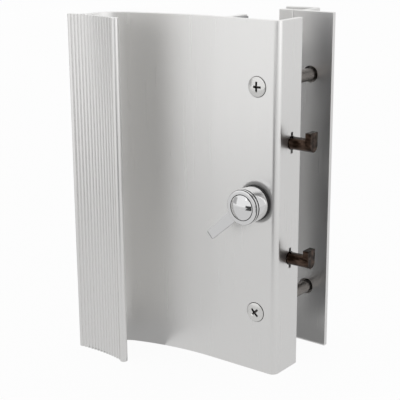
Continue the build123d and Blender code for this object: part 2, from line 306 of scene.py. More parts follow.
interiorPull = {
    "wall": 2.4,
    "channelWidth": 32.0,
    "legDepth": 16.6,
    "cornerRadius": 3.5,
    "cornerSteps": 12,
    "rootRadius": 1.0,
    "flatWidth": 40.0,
    "wingRadius": 138.0,
    "wingSteps": 24,
    "bendRadius": 15.0,
    "bendSteps": 24,
    "webSetBack": 95.8,
    "neckHole": 5.6,
    "screwHole": 2.6,
    "screwSink": 5.15,
    "boltHole": 3.55,
    "notchWidth": 1.9,
    "notchSpan": 10.6,
}
grip = {
    "standOff": 30.0,
    "setBack": 93.5,
    "radius": 77.3,
    "reachLeft": 12.5,
    "reachRight": 22.0,
    "thickness": 2.5,
    "rootFillet": 1.5,
    "filletInWeb": 0.5,
    "filletInGrip": 0.6,
    "beadRadius": 1.9,
    "grooveRadius": 0.62,
    "groovePitch": 2.15,
    "grooveMargin": 1.6,
    "grooveCount": 14,
    "steps": 36,
}
gripCentre = (edgeX - grip["setBack"], frontY - grip["standOff"] - grip["radius"])


def foldedSheet():
    wall, corner, bend = interiorPull["wall"], interiorPull["cornerRadius"], interiorPull["bendRadius"]
    wingX, webX = edgeX - interiorPull["flatWidth"], edgeX - interiorPull["webSetBack"]
    radius = interiorPull["wingRadius"]
    sweep = math.degrees(math.asin((wingX - bend - webX) / (radius - bend)))
    wingCentre = (wingX, frontY - radius)
    bendCentre = polar(wingCentre, radius - bend, 90 + sweep)
    cornerCentre = (edgeX - corner, frontY + corner)
    start = (edgeX - wall, cornerCentre[1])
    piece = startWall("interiorPull", start, (edgeX, -handleSet["stileThickness"]))
    pick(piece, lambda point: near(point.y, cornerCentre[1]), "EDGE")
    bendWall(cornerCentre, -90, interiorPull["cornerSteps"])
    extrudeBy(wingX - cornerCentre[0], 0)
    bendWall(wingCentre, sweep, interiorPull["wingSteps"])
    bendWall(bendCentre, 90 - sweep, interiorPull["bendSteps"])
    extrudeBy(0, frontY - grip["standOff"] + grip["thickness"] / 2 - bendCentre[1])
    closePiece()
    return raiseWall(piece)


def channelLeg(piece):
    wall, backY = interiorPull["wall"], frontY + interiorPull["wall"]
    legX = edgeX - interiorPull["channelWidth"]
    leg = startWall("leg", (legX, frontY + wall / 2), (legX + wall, frontY + interiorPull["legDepth"]))
    tidyFaces(add(piece, raiseWall(leg)))
    return roundUprights(piece, [(legX, backY), (legX + wall, backY)], interiorPull["rootRadius"], 5)


def gripBead(piece, angle, radius):
    place = polar(gripCentre, grip["radius"] + grip["thickness"] / 2, angle)
    z = halfHeight - handleSet["endChamfer"]
    bead = addBar("bead", (*place, -z), (*place, z), radius, 48)
    return add(piece, chamferEnds(bead))


# a strip that is hollow towards the room, with a bead along its right edge and grooves along its face:
# one edge of a small wall is kept, turned to the strip's right end and spun to its left end
def gripStrip():
    radius, thickness = grip["radius"], grip["thickness"]
    middle = radius + thickness / 2
    start = 90 - math.degrees(math.asin((grip["reachRight"] - grip["beadRadius"]) / middle))
    end = 90 + math.degrees(math.asin((grip["reachLeft"] - thickness / 2) / middle))
    piece = startWall("gripStrip", (0, radius), (thickness, radius + thickness))
    pick(piece, lambda point: point.x > thickness / 2)
    bpy.ops.mesh.delete(type="VERT")
    closePiece()
    piece.rotation_euler.z = math.radians(start - 90)
    piece.location = (gripCentre[0] * mm, gripCentre[1] * mm, 0)
    settle(piece)
    openPiece(piece, "EDGE", "SELECT")
    bendWall(gripCentre, end - start, grip["steps"])
    closePiece()
    raiseWall(piece)
    gripBead(piece, start, grip["beadRadius"])
    gripBead(piece, end, thickness / 2)
    grooves = []
    z = halfHeight + past
    for index in range(grip["grooveCount"]):
        angle = end - math.degrees((grip["grooveMargin"] + index * grip["groovePitch"]) / radius)
        place = polar(gripCentre, radius, angle)
        grooves.append(addBar("groove", (*place, -z), (*place, z), grip["grooveRadius"], 20))
    return cut(piece, *grooves)


# the inside corner where the web meets the back of the grip: a block with a round bar taken out
def rootFillet(piece, webSide, side):
    radius, back = grip["rootFillet"], grip["radius"] + grip["thickness"]
    x = webSide + side * radius
    y = gripCentre[1] + math.sqrt((back + radius) ** 2 - (x - gripCentre[0]) ** 2)
    inside, below = webSide - side * grip["filletInWeb"], y - radius - grip["filletInGrip"]
    z = halfHeight - handleSet["endChamfer"]
    block = addBlock("fillet", (min(inside, x), below, -z), (max(inside, x), y, z))
    cut(block, addBar("fillet", (x, y, -halfHeight), (x, y, halfHeight), radius, 96))
    return add(piece, block)


def plateHoles(piece):
    start, end = frontY - past, frontY + interiorPull["wall"] + past
    hole, sink = interiorPull["screwHole"], interiorPull["screwSink"]
    seat = [(0, start), (sink + past, start), (hole, frontY + sink - hole), (hole, end), (0, end)]
    cutters = [addBar("hole", (knobX, start, 0), (knobX, end, 0), interiorPull["neckHole"], 96)]
    for z in (-screwZ, screwZ):
        cutters.append(turnPiece("seat", 0, z, seat, 72))
    return cut(piece, *cutters)


def boltHoles(piece):
    left, right = edgeX - interiorPull["wall"] - past, edgeX + past
    half, span = interiorPull["notchWidth"] / 2, interiorPull["notchSpan"] / 2
    for z in (-boltZ, boltZ):
        hole = addBar("hole", (left, boltY, z), (right, boltY, z), interiorPull["boltHole"], 72)
        add(hole, addBlock("notch", (left, boltY - half, z - span), (right, boltY + half, z + span)))
        cut(piece, hole)
    return piece


def makeInteriorPull(material):
    piece = channelLeg(foldedSheet())
    add(piece, gripStrip())
    webX = edgeX - interiorPull["webSetBack"]
    rootFillet(piece, webX, 1)
    rootFillet(piece, webX - interiorPull["wall"], -1)
    boltHoles(plateHoles(piece))
    return finishPiece(piece, "frame", material, "anodised_aluminium", "interior_handle")


# exterior pull: flat base, web and slanted lip, one extrusion

exteriorPull = {
    "wall": 2.4,
    "baseWidth": 31.7,
    "edge": 12.4,
    "webEdge": -5.2,
    "depth": 19.4,
    "reach": 19.8,
    "slant": 11.0,
    "cornerRadius": 3.0,
    "insideRadius": 2.0,
    "tipRadius": 0.8,
    "markX": -11.0,
    "markWidth": 0.7,
    "postHole": 4.3,
}


# the web's top is cut to the mitre, the lip is drawn out from it, and the lip's end is squared
def pullLip():
    wall, depth, reach = exteriorPull["wall"], exteriorPull["depth"], exteriorPull["reach"]
    slant = math.radians(exteriorPull["slant"])
    webX = exteriorPull["webEdge"]
    webLeft = webX - wall
    mitre = wall * (1 + math.sin(slant)) / math.cos(slant)
    tip = (webX - reach * math.cos(slant), depth - reach * math.sin(slant))
    tipInside = (tip[0] + wall * math.sin(slant), tip[1] - wall * math.cos(slant))
    piece = startWall("exteriorPull", (webLeft, wall / 2), (webX, depth))
    pick(piece, lambda point: near(point.x, webLeft) and near(point.y, depth))
    moveBy(0, -mitre)
    closePiece()
    pick(piece, lambda point: point.y > depth - mitre - wall / 2, "EDGE")
    extrudeBy(tip[0] - webX, tip[1] - depth)
    closePiece()
    straight = (webLeft + tip[0] - webX, depth - mitre + tip[1] - depth)
    pick(piece, lambda point: near(point.x, straight[0]) and near(point.y, straight[1]))
    moveBy(tipInside[0] - straight[0], tipInside[1] - straight[1])
    closePiece()
    liftWall(piece)
    for place in (tip, tipInside):
        roundUprights(piece, [place], exteriorPull["tipRadius"], 6)
    spread = 1 / math.tan((math.pi / 2 - slant) / 2)
    roundUprights(piece, [(webX, depth)], exteriorPull["cornerRadius"] * spread, 12)
    return roundUprights(piece, [(webLeft, depth - mitre)], exteriorPull["insideRadius"] * spread, 8)


def makeExteriorPull(material):
    wall, edge = exteriorPull["wall"], exteriorPull["edge"]
    piece = pullLip()
    base = startWall("base", (edge - exteriorPull["baseWidth"], 0), (edge, wall))
    tidyFaces(add(piece, liftWall(base)))
    roundUprights(piece, [(exteriorPull["webEdge"] - wall, wall)], exteriorPull["insideRadius"], 8)
    chamferEnds(piece)
    half, tall = exteriorPull["markWidth"] / 2, halfHeight + past
    mark = addBlock("mark", (-half, -half, -tall), (half, half, tall))
    mark.rotation_euler.z = math.radians(45)
    mark.location.x = exteriorPull["markX"] * mm
    cutters = [settle(mark)]
    for z in (-screwZ, screwZ):
        cutters.append(addBar("hole", (0, -past, z), (0, wall + past, z), exteriorPull["postHole"], 72))
    cut(piece, *cutters)
    return finishPiece(piece, "frame", material, "anodised_aluminium", "exterior_pull")


# mounting screws and the long barrel nuts that take them

mountingScrew = {
    "radius": 2.35,
    "headRadius": 4.9,
    "headRise": 0.95,
    "rimHeight": 0.36,
    "rimEdge": 0.1,
    "seatRoom": 0.02,
    "length": 25.0,
    "tipChamfer": 0.6,
    "armWidth": 1.3,
    "armSpan": 6.0,
    "recessAbove": 0.5,
    "recessDepth": 1.9,
    "recessTaper": 0.5,
    "turns": {"upper": 0, "lower": 45},
}
postNut = {
    "radius": 3.25,
    "headRadius": 4.7,
    "headThickness": 1.5,
    "headEdge": 0.45,
    "reach": 8.0,
    "bore": 2.4,
    "boreEnd": 30.0,
    "mouth": 0.3,
    "plate": 2.4,
}


def crossRecess(z, turn):
    size = mountingScrew
    half, span, taper = size["armWidth"] / 2, size["armSpan"] / 2, size["recessTaper"]
    topY = frontY - size["headRise"] - size["recessAbove"]
    endY = frontY - size["headRise"] + size["recessDepth"]
    arms = []
    for low, high in (((-half, -span), (half, span)), ((-span, -half), (span, half))):
        arm = addBlock("arm", (low[0], topY, low[1]), (high[0], endY, high[1]))
        pick(arm, lambda point: near(point.y, endY), "FACE")
        bpy.ops.transform.resize(value=(taper, 1, taper))
        closePiece()
        arms.append(arm)
    recess = add(arms[0], arms[1])
    recess.rotation_euler.y = math.radians(turn)
    recess.location.z = z * mm
    return settle(recess)


# the head is a shallow dome on a thin rim that stands just proud of the plate
def makeMountingScrew(place, z, material):
    size = mountingScrew
    rim, edge, shank, chamfer = size["headRadius"], size["rimEdge"], size["radius"], size["tipChamfer"]
    rimTop, tip = frontY - size["rimHeight"], frontY + size["length"]
    rise = size["headRise"] - size["rimHeight"]
    dome = ((rim - edge) ** 2 + rise ** 2) / (2 * rise)
    sweep = math.degrees(math.asin((rim - edge) / dome))
    outline = roundOver((0, rimTop - rise + dome), dome, -90, sweep - 90, 10)
    outline += [
        (rim, rimTop + edge), (rim, frontY + size["seatRoom"]), (shank, frontY + rim - shank),
        (shank, tip - chamfer), (shank - chamfer, tip), (0, tip),
    ]
    piece = turnPiece("mountingScrew." + place, 0, z, outline, 72)
    cut(piece, crossRecess(z, size["turns"][place]))
    return finishPiece(piece, "frame", material, "screw_chrome", "mounting_screw_" + place, smoothAngle=25)


def makePostNut(place, z, material):
    size = postNut
    bore, radius, head, edge = size["bore"], size["radius"], size["headRadius"], size["headEdge"]
    start, boreEnd, mouth = frontY + size["reach"], frontY + size["boreEnd"], size["mouth"]
    headStart, headEnd = size["plate"], size["plate"] + size["headThickness"]
    outline = [
        (0, boreEnd), (bore, boreEnd), (bore, start + mouth), (bore + mouth, start),
        (radius - mouth, start), (radius, start + mouth), (radius, headStart), (head, headStart),
    ]
    outline += roundOver((head - edge, headEnd - edge), edge, 0, 90, 5)
    outline += [(0, headEnd)]
    piece = turnPiece("postNut." + place, 0, z, outline, 64)
    return finishPiece(piece, "frame", material, "post_steel", "post_nut_" + place)


# thumbturn: rubber ring, fixed barrel, lever with its ring, and the domed cap pressed into it

thumbturn = {
    "gasketRadius": 8.9,
    "gasketThickness": 0.9,
    "gasketShow": 0.7,
    "gasketEdge": 0.2,
    "gasketRoom": 0.1,
    "barrelRadius": 8.7,
    "barrelLength": 8.3,
    "barrelBackEdge": 0.45,
    "grooveWidth": 0.45,
    "grooveDepth": 0.6,
    "grooveEdge": 0.12,
    "neckRadius": 5.5,
    "neckEnd": -41.4,
    "bore": 3.05,
    "gap": 0.3,
    "ringThickness": 2.1,
    "ringEdge": 0.6,
    "ringBackEdge": 0.2,
    "floor": 1.0,
    "capSeat": 6.45,
    "seatMouth": 0.15,
    "capRadius": 6.35,
    "capRise": 1.5,
    "capEdge": 0.12,
    "dimpleRadius": 0.4,
    "dimpleDepth": 0.5,
    "squareHole": 4.06,
    "seatToLever": 0.6,
    "leverReach": 26.7,
    "leverAngle": 42.0,
    "leverRoot": 6.4,
    "leverTip": 4.6,
    "leverThickness": 1.55,
    "leverCorner": 0.9,
    "leverEdge": 0.7,
}
collarBackY = frontY - thumbturn["gasketThickness"]
collarFrontY = collarBackY - thumbturn["barrelLength"]
ringBackY = collarFrontY - thumbturn["gap"]
ringFrontY = ringBackY - thumbturn["ringThickness"]


def makeGasket(material):
    size = thumbturn
    inside, outside = size["neckRadius"] + size["gasketRoom"], size["gasketRadius"]
    front, edge = collarBackY - size["gasketShow"], size["gasketEdge"]
    outline = [
        (inside, frontY), (inside, front), (outside - edge, front), (outside, front + edge),
        (outside, frontY), (inside, frontY),
    ]
    piece = turnPiece("gasket", knobX, 0, outline, 96)
    return finishPiece(piece, "frame", material, "gasket_rubber", "thumbturn_gasket")


def makeBarrel(material):
    size = thumbturn
    back, radius, edge = size["barrelBackEdge"], size["barrelRadius"], size["grooveEdge"]
    bore, neck, neckEnd = size["bore"], size["neckRadius"], size["neckEnd"]
    backY = collarBackY - size["gasketShow"]
    land, landY = radius - size["grooveDepth"], collarFrontY + size["grooveWidth"]
    outline = [(bore, neckEnd), (bore, collarFrontY), (land, collarFrontY), (land, landY)]
    outline += roundOver((radius - edge, landY + edge), edge, -90, 0, 4)
    outline += roundOver((radius - back, backY - back), back, 0, 90, 5)
    outline += [(neck, backY), (neck, neckEnd), (bore, neckEnd)]
    piece = turnPiece("barrel", knobX, 0, outline, 128)
    return finishPiece(piece, "frame", material, "knob_chrome", "thumbturn_collar")


# the four edges around the tip are rounded together, and then all sharp edges are softened
def leverPaddle():
    size = thumbturn
    root, tip, reach = size["leverRoot"] / 2, size["leverTip"] / 2, size["leverReach"]
    start = size["capSeat"] + size["seatToLever"]
    startHalf = root + (tip - root) * start / reach
    low = (-reach, ringBackY - size["leverThickness"], -root)
    paddle = addBlock("paddle", low, (-start, ringBackY, root))
    for x, half in ((-reach, tip), (-start, startHalf)):
        pick(paddle, lambda point: near(point.x, x), "FACE")
        bpy.ops.transform.resize(value=(1, 1, half / root))
        closePiece()
    pick(paddle, lambda point: near(point.x, -reach), "EDGE")
    roundPicked(size["leverCorner"], 6)
    softenEdges(paddle, size["leverEdge"], 3)
    paddle.rotation_euler.y = -math.radians(size["leverAngle"])
    paddle.location.x = knobX * mm
    return settle(paddle)


def makeLever(material):
    size = thumbturn
    radius, edge, backEdge = size["barrelRadius"], size["ringEdge"], size["ringBackEdge"]
    seat, mouth, floorY = size["capSeat"], size["seatMouth"], ringBackY - size["floor"]
    outline = [(0, ringBackY), (0, floorY), (seat, floorY)]
    outline += [(seat, ringFrontY + mouth), (seat + mouth, ringFrontY)]
    outline += roundOver((radius - edge, ringFrontY + edge), edge, -90, 0, 6)
    outline += roundOver((radius - backEdge, ringBackY - backEdge), backEdge, 0, 90, 3)
    outline += [(0, ringBackY)]
    ring = turnPiece("lever", knobX, 0, outline, 128)
    add(ring, leverPaddle())
    half, start, end = size["squareHole"] / 2, floorY - past, ringBackY + past
    cut(ring, addBlock("square", (knobX - half, start, -half), (knobX + half, end, half)))
    return finishPiece(ring, "thumbturn", material, "knob_chrome", "thumbturn_lever")


def makeCap(material):
    size = thumbturn
    rise, radius, edge = size["capRise"], size["capRadius"], size["capEdge"]
    dome = (radius ** 2 + rise ** 2) / (2 * rise)
    centre = (0, ringFrontY - rise + dome)
    floorY = ringBackY - size["floor"]
    dimple = math.degrees(math.asin(size["dimpleRadius"] / dome))
    rim = math.degrees(math.asin((radius - edge) / dome))
    outline = [(0, floorY), (radius, floorY), (radius, ringFrontY + edge)]
    outline += roundOver(centre, dome, rim - 90, dimple - 90, 16)
    outline += [(0, ringFrontY - rise + size["dimpleDepth"])]
    piece = turnPiece("cap", knobX, 0, outline, 128)
    return finishPiece(piece, "thumbturn", material, "knob_chrome", "thumbturn_cap")


# hook bolts

hookBolt = {
    "radius": 3.175,
    "innerEnd": -8.95,
    "tip": 24.5,
    "hookThickness": 3.0,
    "hookRise": 3.2,
    "edge": 0.28,
    "journalRadius": 2.4,
    "journalEnd": -10.6,
    "square": 3.2,
    "squareEnd": -12.6,
    "overlap": 1.0,
}


def makeHookBolt(place, z, material):
    size = hookBolt
    radius, half = size["radius"], size["square"] / 2
    tip, lugStart, lugTop = size["tip"], size["tip"] - size["hookThickness"], z + radius + size["hookRise"]
    inner, journalEnd, squareEnd = size["innerEnd"], size["journalEnd"], size["squareEnd"]
    journalRoot, squareRoot = inner + size["overlap"], journalEnd + size["overlap"]
    piece = addBar("hookBolt." + place, (inner, boltY, z), (tip, boltY, z), radius, 96)
    add(piece, addBlock("lug", (lugStart, boltY - radius, z), (tip, boltY + radius, lugTop)))
    add(piece, addBar("journal", (journalEnd, boltY, z), (journalRoot, boltY, z), size["journalRadius"]))
    low, high = (squareEnd, boltY - half, z - half), (squareRoot, boltY + half, z + half)
    add(piece, addBlock("square", low, high))
    softenEdges(tidyFaces(piece), size["edge"], 3, 50)
    body, node = "bolt_" + place, "hook_bolt_" + place
    return finishPiece(piece, body, material, "bolt_bronze", node, smoothAngle=40)


# the rest of the lock keeps its solids' shapes: each is copied whole, with its sharp edges broken

lockWork = {
    "lock_chassis": ("frame", "chassis_steel", 0.18),
    "slide_bar": ("slide", "bar_steel", 0.12),
    "drive_crank": ("thumbturn", "bar_steel", 0.12),
    "bolt_crank_upper": ("bolt_upper", "bar_steel", 0.12),
    "bolt_crank_lower": ("bolt_lower", "bar_steel", 0.12),
    "guide_rivet_upper": ("frame", "pin_steel", 0.12),
    "guide_rivet_lower": ("frame", "pin_steel", 0.12),
    "cross_pin_upper": ("bolt_upper", "pin_steel", 0.12),
    "cross_pin_lower": ("bolt_lower", "pin_steel", 0.12),
    "thumbturn_spindle": ("thumbturn", "pin_steel", 0.12),
    "collar_nut": ("frame", "pin_steel", 0.15),
}


def dressCopy(node, body, slot, edge, material):
    piece = bpy.data.objects.new(node.replace("_", "-"), bpy.data.objects[node].data.copy())
    bpy.context.scene.collection.objects.link(piece)
    tidyFaces(mended(piece), 1)
    softenEdges(piece, edge, 2, 40)
    return finishPiece(piece, body, material, slot, node)


# finishes

def newMaterial(name, colour, metallic, roughness):
    material = bpy.data.materials.new(name)
    material.use_nodes = True
    shader = material.node_tree.nodes["Principled BSDF"]
    shader.inputs["Base Color"].default_value = (*colour, 1)
    shader.inputs["Metallic"].default_value = metallic
    shader.inputs["Roughness"].default_value = roughness
    return material


def addNode(material, kind, place, **inputs):
    node = material.node_tree.nodes.new(kind)
    node.location = place
    for name, value in inputs.items():
        node.inputs[name].default_value = value
    return node


def setRange(node, start, end, low=0, high=1):
    for name, value in {"From Min": start, "From Max": end, "To Min": low, "To Max": high}.items():
        node.inputs[name].default_value = value


# fine grain that is drawn out along one way of the piece, in the relief and a little in the gloss
grain = {
    "noiseRange": (0.3, 0.7),
    "depth": 0.00005,  # metres
}


def addGrain(material, stretch, size, relief, roughRange):
    tree = material.node_tree
    shader = tree.nodes["Principled BSDF"]
    coords = addNode(material, "ShaderNodeTexCoord", (-1100, 0))
    mapping = addNode(material, "ShaderNodeMapping", (-900, 0), Scale=stretch)
    noise = addNode(material, "ShaderNodeTexNoise", (-700, 0), Scale=size, Detail=4.0, Roughness=0.6)
    gloss = addNode(material, "ShaderNodeMapRange", (-450, 150))
    setRange(gloss, *grain["noiseRange"], *roughRange)
    bump = addNode(material, "ShaderNodeBump", (-250, -150), Strength=relief, Distance=grain["depth"])
    tree.links.new(coords.outputs["Object"], mapping.inputs["Vector"])
    tree.links.new(mapping.outputs["Vector"], noise.inputs["Vector"])
    tree.links.new(noise.outputs["Fac"], gloss.inputs["Value"])
    tree.links.new(gloss.outputs["Result"], shader.inputs["Roughness"])
    tree.links.new(noise.outputs["Fac"], bump.inputs["Height"])
    tree.links.new(bump.outputs["Normal"], shader.inputs["Normal"])
    return material


def satinAluminium():
    material = newMaterial("satinAluminium", (0.875, 0.87, 0.86), 1, 0.3)
    return addGrain(material, (1, 1, 0.01), 1700, 0.3, (0.27, 0.33))


def zincSteel():
    material = newMaterial("zincSteel", (0.36, 0.36, 0.37), 1, 0.4)
    return addGrain(material, (1, 1, 1), 700, 0.2, (0.34, 0.48))


def stripSteel():
    material = newMaterial("stripSteel", (0.46, 0.46, 0.46), 1, 0.35)
    return addGrain(material, (1, 1, 0.05), 1500, 0.2, (0.3, 0.42))


def plainSteel():
    material = newMaterial("plainSteel", (0.42, 0.41, 0.4), 1, 0.32)
    return addGrain(material, (1, 1, 1), 1500, 0.15, (0.28, 0.38))


def postSteel():
    material = newMaterial("postSteel", (0.3, 0.28, 0.265), 1, 0.28)
    return addGrain(material, (1, 0.05, 1), 1800, 0.2, (0.25, 0.36))


# the bronze is worn to a lighter brown in streaks along the bolts
boltBronze = {
    "dark": (0.014, 0.008, 0.005, 1),
    "worn": (0.105, 0.07, 0.053, 1),
    "wear": (0.42, 0.7),
    "streaks": (0.4, 1, 1),
}


def darkBronze():
    material = newMaterial("darkBronze", (0.042, 0.027, 0.019), 1, 0.24)
    tree = material.node_tree
    coords = addNode(material, "ShaderNodeTexCoord", (-1100, 400))
    mapping = addNode(material, "ShaderNodeMapping", (-900, 400), Scale=boltBronze["streaks"])
    noise = addNode(material, "ShaderNodeTexNoise", (-700, 400), Scale=420.0, Detail=3.0, Roughness=0.55)
    colours = addNode(material, "ShaderNodeValToRGB", (-450, 400))
    for stop, position, shade in zip(colours.color_ramp.elements, boltBronze["wear"], ("dark", "worn")):
        stop.position = position
        stop.color = boltBronze[shade]
    tree.links.new(coords.outputs["Object"], mapping.inputs["Vector"])
    tree.links.new(mapping.outputs["Vector"], noise.inputs["Vector"])
    tree.links.new(noise.outputs["Fac"], colours.inputs["Fac"])
    tree.links.new(colours.outputs["Color"], tree.nodes["Principled BSDF"].inputs["Base Color"])
    return addGrain(material, (1, 1, 1), 1300, 0.15, (0.2, 0.29))


# painted shade and painted dark reflection on the chrome: the knob is painted dark along the ring's side,
# in the groove behind it, around the cap and along the lever's edge, which is further to the front than
# the groove by the lever's shift; the lever starts between two distances from the barrel's side
chromePaintedShade = {
    "bright": (0.86, 0.86, 0.865, 1),
    "dark": (0.03, 0.03, 0.03, 1),
    "leverStart": (0.02, 0.2),
    "leverShift": 1.245,
    "ringDepths": ((-1.9, -1.25), (-0.3, 0.5)),
    "capRadii": ((6.2, 6.6),),
    "blend": 0.03,
}


# paints dark bands into the chrome's colour between the given distances: painted shade and painted dark
# reflection
def paintedShadeColours(tree, value, shadeBands):
    first, last, blend = shadeBands[0][0], shadeBands[-1][1], chromePaintedShade["blend"]
    share = tree.nodes.new("ShaderNodeMapRange")
    setRange(share, first * mm, last * mm)
    colours = tree.nodes.new("ShaderNodeValToRGB")
    ramp = colours.color_ramp
    ramp.elements[0].color = chromePaintedShade["bright"]
    ramp.elements[1].color = chromePaintedShade["bright"]
    for start, end in shadeBands:
        stops = ((start, "bright"), (start + blend, "dark"), (end - blend, "dark"), (end, "bright"))
        for stop, shade in stops:
            ramp.elements.new((stop - first) / (last - first)).color = chromePaintedShade[shade]
    tree.links.new(value, share.inputs["Value"])
    tree.links.new(share.outputs["Result"], colours.inputs["Fac"])
    return colours.outputs["Color"]


def brightChrome():
    material = newMaterial("brightChrome", chromePaintedShade["bright"][:3], 1, 0.09)
    tree = material.node_tree
    coords = addNode(material, "ShaderNodeTexCoord", (-1500, 500))
    parts = addNode(material, "ShaderNodeSeparateXYZ", (-1300, 500))
    flat = addNode(material, "ShaderNodeCombineXYZ", (-1100, 500))
    radius = addNode(material, "ShaderNodeVectorMath", (-900, 500))
    radius.operation = "DISTANCE"
    radius.inputs[1].default_value = (knobX * mm, 0, 0)
    shift = addNode(material, "ShaderNodeMapRange", (-700, 600))
    side, (start, end) = thumbturn["barrelRadius"], chromePaintedShade["leverStart"]
    ringShift, leverShift = -ringBackY * mm, (chromePaintedShade["leverShift"] - ringBackY) * mm
    setRange(shift, (side + start) * mm, (side + end) * mm, ringShift, leverShift)
    depth = addNode(material, "ShaderNodeMath", (-500, 600))
    both = addNode(material, "ShaderNodeMixRGB", (-200, 500), Fac=1.0)
    both.blend_type = "DARKEN"
    tree.links.new(coords.outputs["Object"], parts.inputs["Vector"])
    tree.links.new(parts.outputs["X"], flat.inputs["X"])
    tree.links.new(parts.outputs["Z"], flat.inputs["Z"])
    tree.links.new(flat.outputs["Vector"], radius.inputs[0])
    tree.links.new(radius.outputs["Value"], shift.inputs["Value"])
    tree.links.new(parts.outputs["Y"], depth.inputs[0])
    tree.links.new(shift.outputs["Result"], depth.inputs[1])
    # painted shade in the groove behind the ring and along the ring's side and the lever's edge, and a
    # painted dark ring around the cap
    grooves = paintedShadeColours(tree, depth.outputs["Value"], chromePaintedShade["ringDepths"])
    circle = paintedShadeColours(tree, radius.outputs["Value"], chromePaintedShade["capRadii"])
    tree.links.new(grooves, both.inputs["Color1"])
    tree.links.new(circle, both.inputs["Color2"])
    tree.links.new(both.outputs["Color"], tree.nodes["Principled BSDF"].inputs["Base Color"])
    return addGrain(material, (1, 1, 1), 350, 0.03, (0.07, 0.12))


# painted shade on the screws: the metal is painted darker in the recess and below the rim, going dark
# between these two heights over the plate
screwPaintedShade = {
    "bright": (0.82, 0.815, 0.8, 1),
    "paintedShade": (0.1, 0.095, 0.09, 1),
    "brightFrom": 0.34,
    "paintedShadeBelow": 0.1,
}


def brightNickel():
    material = newMaterial("brightNickel", screwPaintedShade["bright"][:3], 1, 0.18)
    tree = material.node_tree
    coords = addNode(material, "ShaderNodeTexCoord", (-1100, 400))
    parts = addNode(material, "ShaderNodeSeparateXYZ", (-900, 400))
    # painted shade: the colour goes dark towards the plate, in the recess and below the rim
    depth = addNode(material, "ShaderNodeMapRange", (-700, 400))
    bright, paintedShade = frontY - screwPaintedShade["brightFrom"], frontY - screwPaintedShade["paintedShadeBelow"]
    setRange(depth, bright * mm, paintedShade * mm)
    colours = addNode(material, "ShaderNodeValToRGB", (-450, 400))
    colours.color_ramp.elements[0].color = screwPaintedShade["bright"]
    colours.color_ramp.elements[1].color = screwPaintedShade["paintedShade"]
    tree.links.new(coords.outputs["Object"], parts.inputs["Vector"])
    tree.links.new(parts.outputs["Y"], depth.inputs["Value"])
    tree.links.new(depth.outputs["Result"], colours.inputs["Fac"])
    tree.links.new(colours.outputs["Color"], tree.nodes["Principled BSDF"].inputs["Base Color"])
    return addGrain(material, (1, 1, 1), 900, 0.08, (0.14, 0.22))


def blackRubber():
    material = newMaterial("blackRubber", (0.012, 0.012, 0.012), 0, 0.6)
    return addGrain(material, (1, 1, 1), 2000, 0.3, (0.5, 0.7))


# studio: camera, white ground and backdrop, and the cards that the metal reflects

studio = {
    "cameraPlace": (282.3, -459.2, 141.7),  # millimetres
    "cameraYaw": 37.6,
    "cameraPitch": 15.7,
    "cameraRoll": 0.38,
    "focalPixels": 1060.1,
    "framePixels": 400,
    "clipStart": 0.01,
    "floorSize": 8.0,  # metres
    "floorColour": 0.8,
    "whiteShare": 0.94,
    "skyStrength": 0.85,
}


def makeCamera():
    data = bpy.data.cameras.new("photoCamera")
    data.lens = studio["focalPixels"] / studio["framePixels"] * data.sensor_width
    data.clip_start = studio["clipStart"]
    camera = bpy.data.objects.new("photoCamera", data)
    bpy.context.scene.collection.objects.link(camera)
    camera.location = Vector(studio["cameraPlace"]) * mm
    turn = Matrix.Rotation(math.radians(studio["cameraYaw"]), 4, "Z")
    tilt = Matrix.Rotation(math.radians(90 - studio["cameraPitch"]), 4, "X")
    roll = Matrix.Rotation(math.radians(-studio["cameraRoll"]), 4, "Z")
    camera.rotation_euler = (turn @ tilt @ roll).to_euler()
    bpy.context.scene.camera = camera


# the share for a ray that the camera, a gloss or a clear material sends out, and 0 for light on a surface
def seenRays(tree, share):
    path = tree.nodes.new("ShaderNodeLightPath")
    total = path.outputs["Is Camera Ray"]
    for name in ("Is Glossy Ray", "Is Transmission Ray"):
        either = tree.nodes.new("ShaderNodeMath")
        either.operation = "MAXIMUM"
        tree.links.new(total, either.inputs[0])
        tree.links.new(path.outputs[name], either.inputs[1])
        total = either.outputs["Value"]
    part = tree.nodes.new("ShaderNodeMath")
    part.operation = "MULTIPLY"
    part.inputs[1].default_value = share
    tree.links.new(total, part.inputs[0])
    return part.outputs["Value"]


def makeFloor():
    bpy.ops.object.select_all(action="DESELECT")
    bpy.ops.mesh.primitive_plane_add(size=studio["floorSize"], location=(0, 0, cadBox[0][2]))
    floor = bpy.context.object
    floor.name = "floor"
    material = newMaterial("paleFloor", [studio["floorColour"]] * 3, 0, 0.7)
    tree = material.node_tree
    glow = tree.nodes.new("ShaderNodeEmission")
    mix = tree.nodes.new("ShaderNodeMixShader")
    tree.links.new(seenRays(tree, studio["whiteShare"]), mix.inputs["Fac"])
    tree.links.new(tree.nodes["Principled BSDF"].outputs["BSDF"], mix.inputs[1])
    tree.links.new(glow.outputs["Emission"], mix.inputs[2])
    tree.links.new(mix.outputs["Shader"], tree.nodes["Material Output"].inputs["Surface"])
    floor.data.materials.append(material)


def makeWorld():
    world = bpy.data.worlds.new("whiteStudio")
    bpy.context.scene.world = world
    world.use_nodes = True
    tree = world.node_tree
    sky = tree.nodes["Background"]
    sky.inputs["Color"].default_value = (1, 1, 1, 1)
    sky.inputs["Strength"].default_value = studio["skyStrength"]
    white = tree.nodes.new("ShaderNodeBackground")
    white.inputs["Color"].default_value = (1, 1, 1, 1)
    mix = tree.nodes.new("ShaderNodeMixShader")
    tree.links.new(seenRays(tree, 1), mix.inputs["Fac"])
    tree.links.new(sky.outputs["Background"], mix.inputs[1])
    tree.links.new(white.outputs["Background"], mix.inputs[2])
    tree.links.new(mix.outputs["Shader"], tree.nodes["World Output"].inputs["Surface"])


